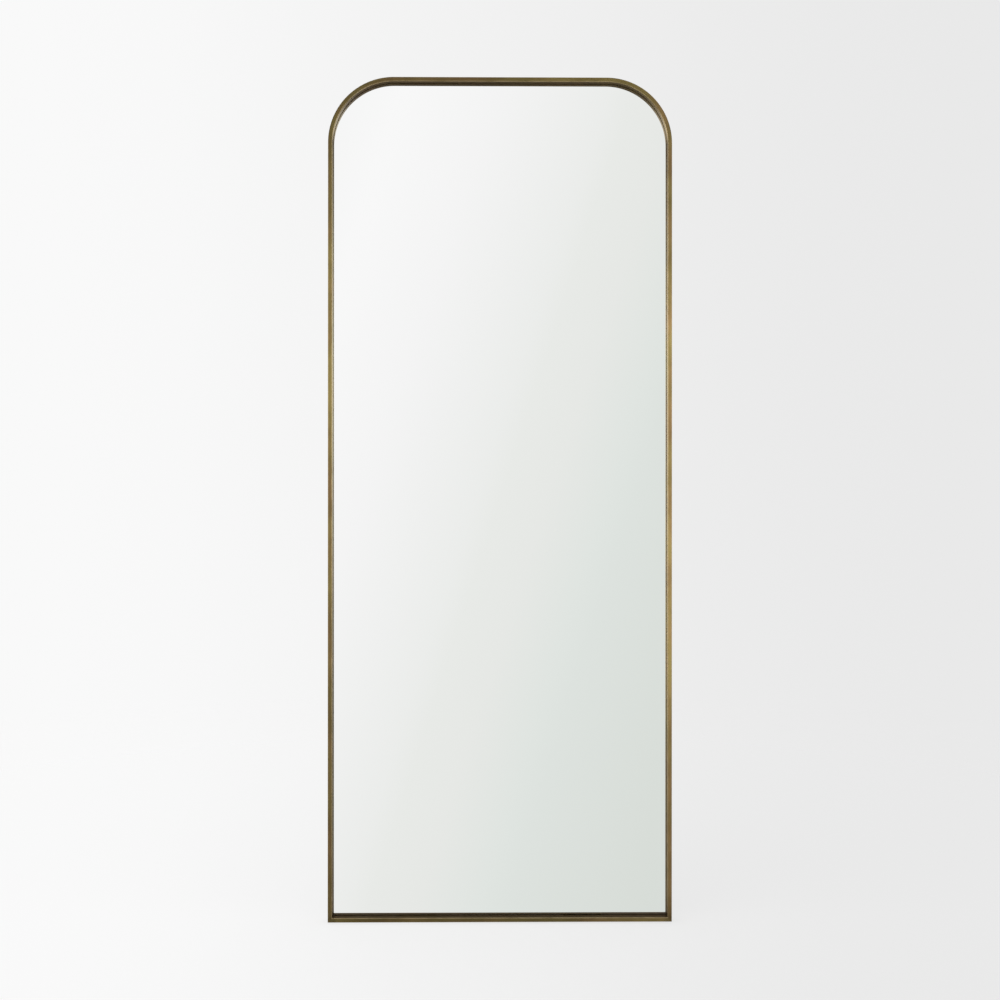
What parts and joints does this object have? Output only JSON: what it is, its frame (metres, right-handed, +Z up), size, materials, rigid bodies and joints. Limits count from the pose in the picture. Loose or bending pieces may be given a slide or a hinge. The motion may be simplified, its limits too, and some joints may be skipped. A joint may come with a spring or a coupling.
{
  "type": "leaning floor mirror",
  "caption": "Tall floor mirror with round top corners in a slim, deep brass tube frame, with a backing board, swinging hanger rings, wall bumpers and foot pads.",
  "frame": {"origin": "on the floor, under the foot pads, in the middle of the mirror's width and of its overall depth", "axes": "+Z up, -Y out of the mirror's face, +X to the viewer's right"},
  "size_m": [0.745, 0.044, 1.8313],
  "materials": {
    "frame_brass": "aged brass, brushed along the tube, satin, darker in the recess",
    "mirror_glass": "silvered float glass, faintly green, polished edges",
    "safety_film": "grey film over the silvering",
    "mounting_tape": "white foam tape",
    "backing_board": "fibreboard, painted matt black",
    "black_rubber": "matt moulded rubber",
    "brass_tab": "as the frame, duller",
    "zinc_steel": "bright zinc plate",
    "black_screw": "black zinc plate"
  },
  "bodies": {
    "mirror": {"frame_hoop": "frame_brass", "bottom_rail": "frame_brass", "mirror_glass": "mirror_glass", "safety_film": "safety_film", "mounting_tape_1": "mounting_tape", "mounting_tape_2": "mounting_tape", "mounting_tape_3": "mounting_tape", "mounting_tape_4": "mounting_tape", "setting_block_left": "black_rubber", "setting_block_right": "black_rubber", "backing_board": "backing_board", "tab_left_1": "brass_tab", "tab_left_2": "brass_tab", "tab_left_3": "brass_tab", "tab_left_4": "brass_tab", "tab_top_left": "brass_tab", "tab_bottom_left": "brass_tab", "tab_right_1": "brass_tab", "tab_right_2": "brass_tab", "tab_right_3": "brass_tab", "tab_right_4": "brass_tab", "tab_top_right": "brass_tab", "tab_bottom_right": "brass_tab", "tab_screw_left_1": "black_screw", "tab_screw_left_2": "black_screw", "tab_screw_left_3": "black_screw", "tab_screw_left_4": "black_screw", "tab_screw_top_left": "black_screw", "tab_screw_bottom_left": "black_screw", "tab_screw_right_1": "black_screw", "tab_screw_right_2": "black_screw", "tab_screw_right_3": "black_screw", "tab_screw_right_4": "black_screw", "tab_screw_top_right": "black_screw", "tab_screw_bottom_right": "black_screw", "hanger_strap_left": "zinc_steel", "hanger_strap_right": "zinc_steel", "strap_screw_left_1": "zinc_steel", "strap_screw_left_2": "zinc_steel", "strap_screw_right_1": "zinc_steel", "strap_screw_right_2": "zinc_steel", "bumper_upper_left": "black_rubber", "bumper_lower_left": "black_rubber", "bumper_upper_right": "black_rubber", "bumper_lower_right": "black_rubber", "foot_pad_left": "black_rubber", "foot_pad_right": "black_rubber"},
    "left_ring": {"hanger_ring_left": "zinc_steel"},
    "right_ring": {"hanger_ring_right": "zinc_steel"}
  },
  "joints": [
    {"name": "left_ring_swing", "type": "hinge", "parent": "mirror", "child": "left_ring", "pos_m": [-0.2975, 0.01675, 1.4513], "axis": [1, 0, 0], "range_deg": [0, 180]},
    {"name": "right_ring_swing", "type": "hinge", "parent": "mirror", "child": "right_ring", "pos_m": [0.2975, 0.01675, 1.4513], "axis": [1, 0, 0], "range_deg": [0, 180]}
  ]
}
